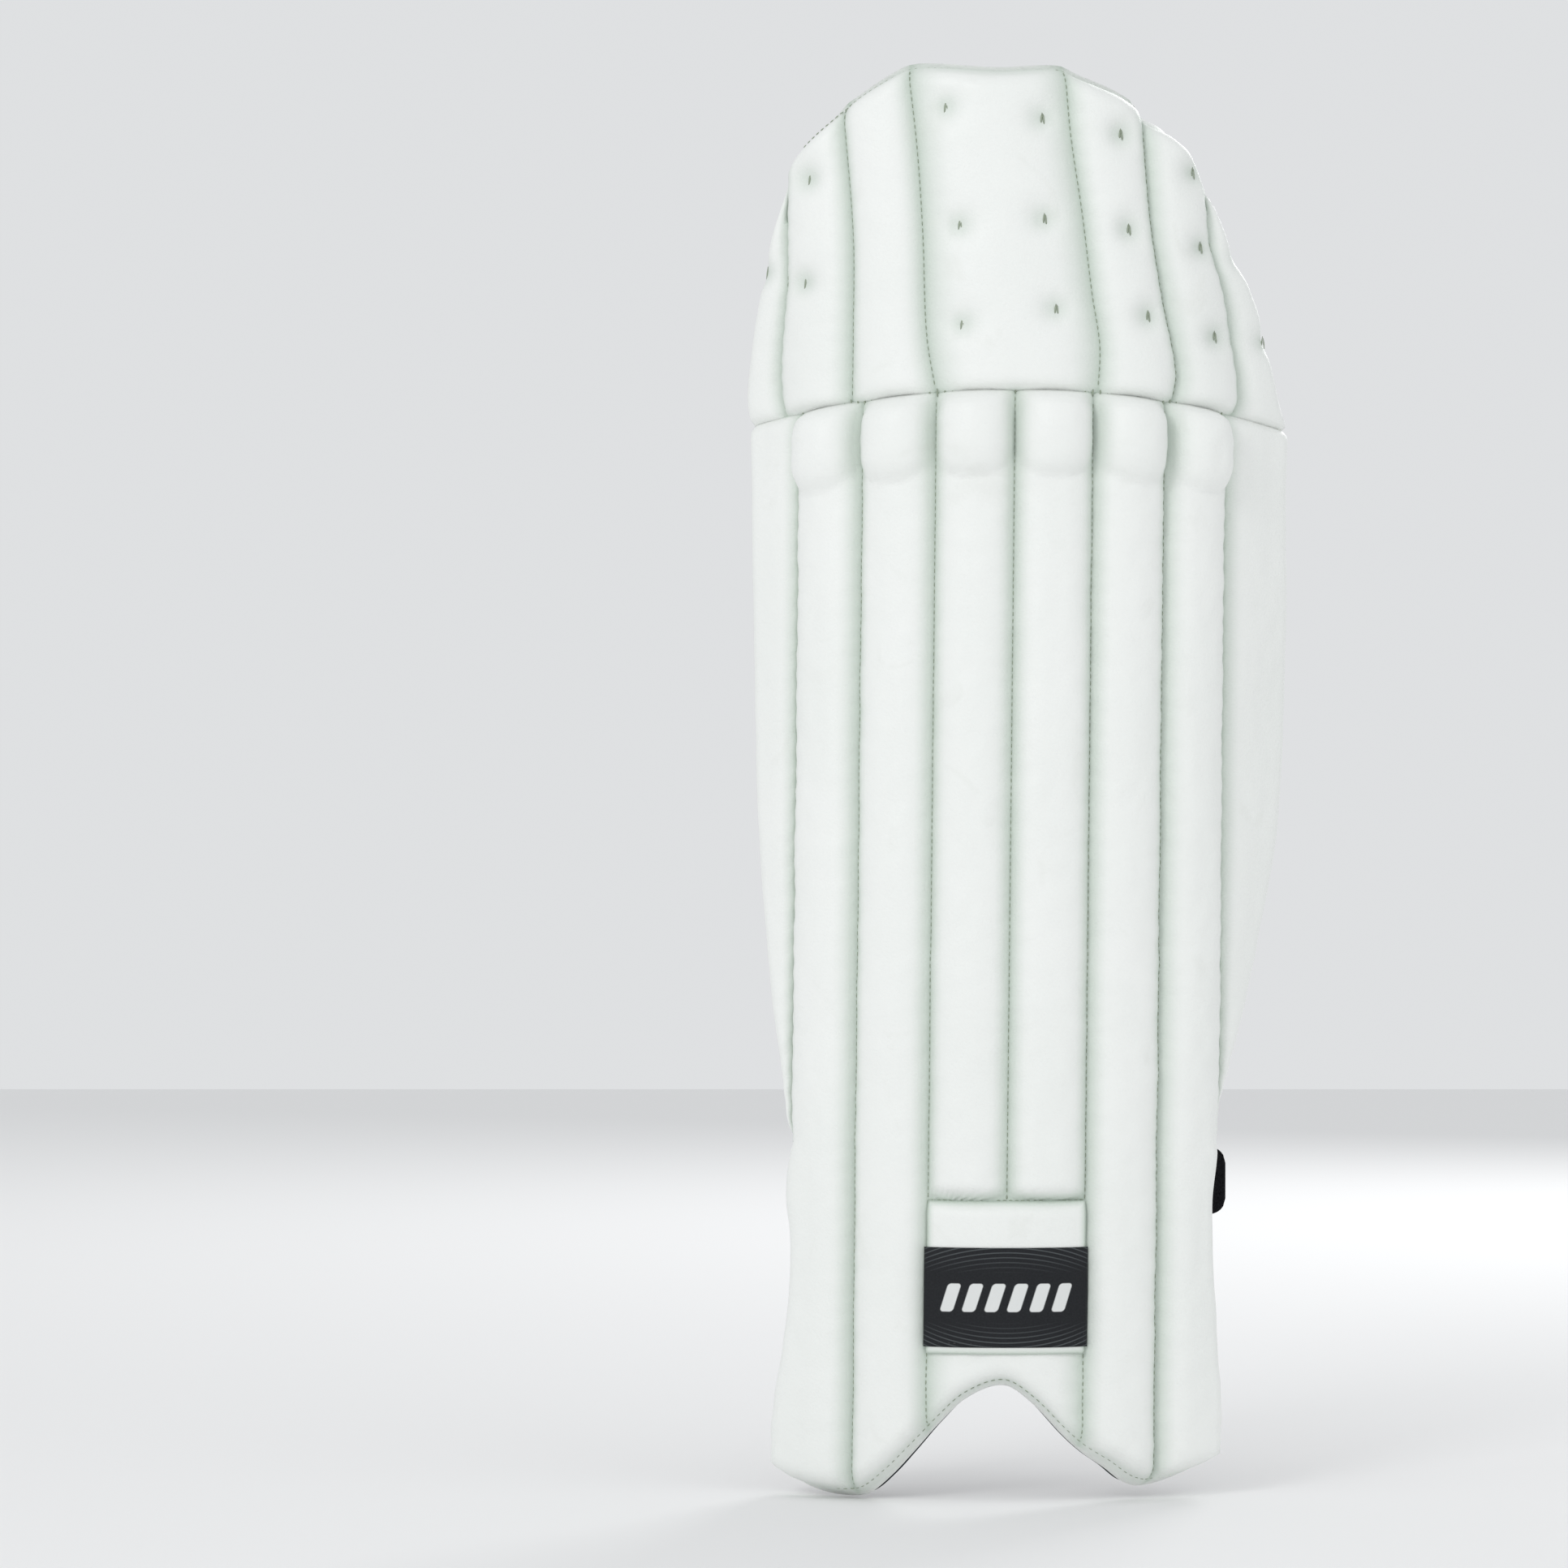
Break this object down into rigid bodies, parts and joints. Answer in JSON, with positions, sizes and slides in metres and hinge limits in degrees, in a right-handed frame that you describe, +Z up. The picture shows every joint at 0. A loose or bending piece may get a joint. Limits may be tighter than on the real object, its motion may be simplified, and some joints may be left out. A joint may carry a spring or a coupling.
{
  "type": "cricket leg pad",
  "caption": "Wicket-keeper's leg pad: ribbed padded shin, knee rolls and top hat, two side wings, rear bolsters and hook-and-loop straps.",
  "frame": {"origin": "in the leg's hollow behind the middle of the shin, level with the two bottom tips", "axes": "+Z up the leg, -Y the way the front faces, +X towards the wide wing"},
  "size_m": [0.242, 0.1054, 0.6211],
  "materials": {
    "white_cover": "white coated fabric with a soft fine grain, satin",
    "wadding": "loose fibre wadding",
    "foam": "closed-cell foam sheet, fine pores",
    "cane": "split cane with long grain",
    "black_lining": "quilted nylon, satin sheen",
    "printed_cotton": "plain-weave cotton with printed stripes and strokes",
    "printed_cover": "printed cover with red and charcoal strokes on white",
    "dark_panel": "printed charcoal panel, matt",
    "label": "woven label",
    "webbing": "elastic webbing with a pale and a grey stripe",
    "pile_tape": "looped pile tape, very matt",
    "hook_tape": "hook tape"
  },
  "bodies": {
    "shin": {"shin_front_cover": "white_cover", "shin_canes": "cane", "shin_backing_board": "foam", "shin_lining": "black_lining", "instep_padding": "wadding", "foot_binding": "black_lining", "label_patch": "white_cover", "woven_label": "label", "wide_bolster_core": "foam", "wide_bolster_print": "printed_cover", "wide_bolster_band": "white_cover", "narrow_bolster_core": "foam", "narrow_bolster_cover": "white_cover", "narrow_bolster_panel": "dark_panel", "lower_strap_anchor": "pile_tape", "lower_strap_patch": "pile_tape", "channel_padding_1": "wadding", "channel_padding_2": "wadding", "channel_padding_3": "wadding", "channel_padding_4": "wadding", "channel_padding_5": "wadding", "channel_padding_6": "wadding", "knee_roll_1": "white_cover", "knee_roll_2": "white_cover", "knee_roll_3": "white_cover", "knee_roll_4": "white_cover", "knee_roll_5": "white_cover", "knee_roll_6": "white_cover"},
    "top_hat": {"top_front_cover": "white_cover", "top_stiffener": "foam", "top_back_lining": "printed_cotton", "top_narrow_wing_padding": "wadding", "top_wide_wing_padding": "wadding", "top_padding_1": "wadding", "top_padding_2": "wadding", "top_padding_3": "wadding", "top_padding_4": "wadding", "top_padding_5": "wadding"},
    "narrow_wing": {"narrow_wing_cover": "white_cover", "narrow_wing_padding": "wadding", "narrow_wing_lining": "black_lining"},
    "wide_wing": {"wide_wing_cover": "white_cover", "wide_wing_padding": "wadding", "wide_wing_lining": "black_lining", "upper_strap_anchor": "pile_tape", "upper_strap_patch": "pile_tape"},
    "upper_strap": {"upper_strap_tape": "pile_tape", "upper_strap_hook": "hook_tape"},
    "lower_strap": {"lower_strap_webbing": "webbing", "lower_strap_pile_tape": "pile_tape", "lower_strap_hook": "hook_tape"}
  },
  "joints": [
    {"name": "knee_flex", "type": "hinge", "parent": "shin", "child": "top_hat", "pos_m": [0, -0.069, 0.48], "axis": [1, 0, 0], "range_deg": [0, 20], "stiffness_Nm_per_rad": 0.8},
    {"name": "narrow_wing_flex", "type": "hinge", "parent": "shin", "child": "narrow_wing", "pos_m": [-0.09394, -0.02226, 0.31], "axis": [0.0104, 0, 0.9999], "range_deg": [-2, 30], "stiffness_Nm_per_rad": 0.3},
    {"name": "wide_wing_flex", "type": "hinge", "parent": "shin", "child": "wide_wing", "pos_m": [0.0904, -0.02226, 0.31], "axis": [-0.0104, 0, -0.9999], "range_deg": [-2, 30], "stiffness_Nm_per_rad": 0.3},
    {"name": "upper_strap_swing", "type": "hinge", "parent": "wide_wing", "child": "upper_strap", "pos_m": [0.09439, 0.00483, 0.392], "axis": [0.0104, 0, 0.9999], "range_deg": [0, 55]},
    {"name": "lower_strap_swing", "type": "hinge", "parent": "shin", "child": "lower_strap", "pos_m": [-0.086, -0.0109, 0.1358], "axis": [0, 0, 1], "range_deg": [0, 150]}
  ]
}
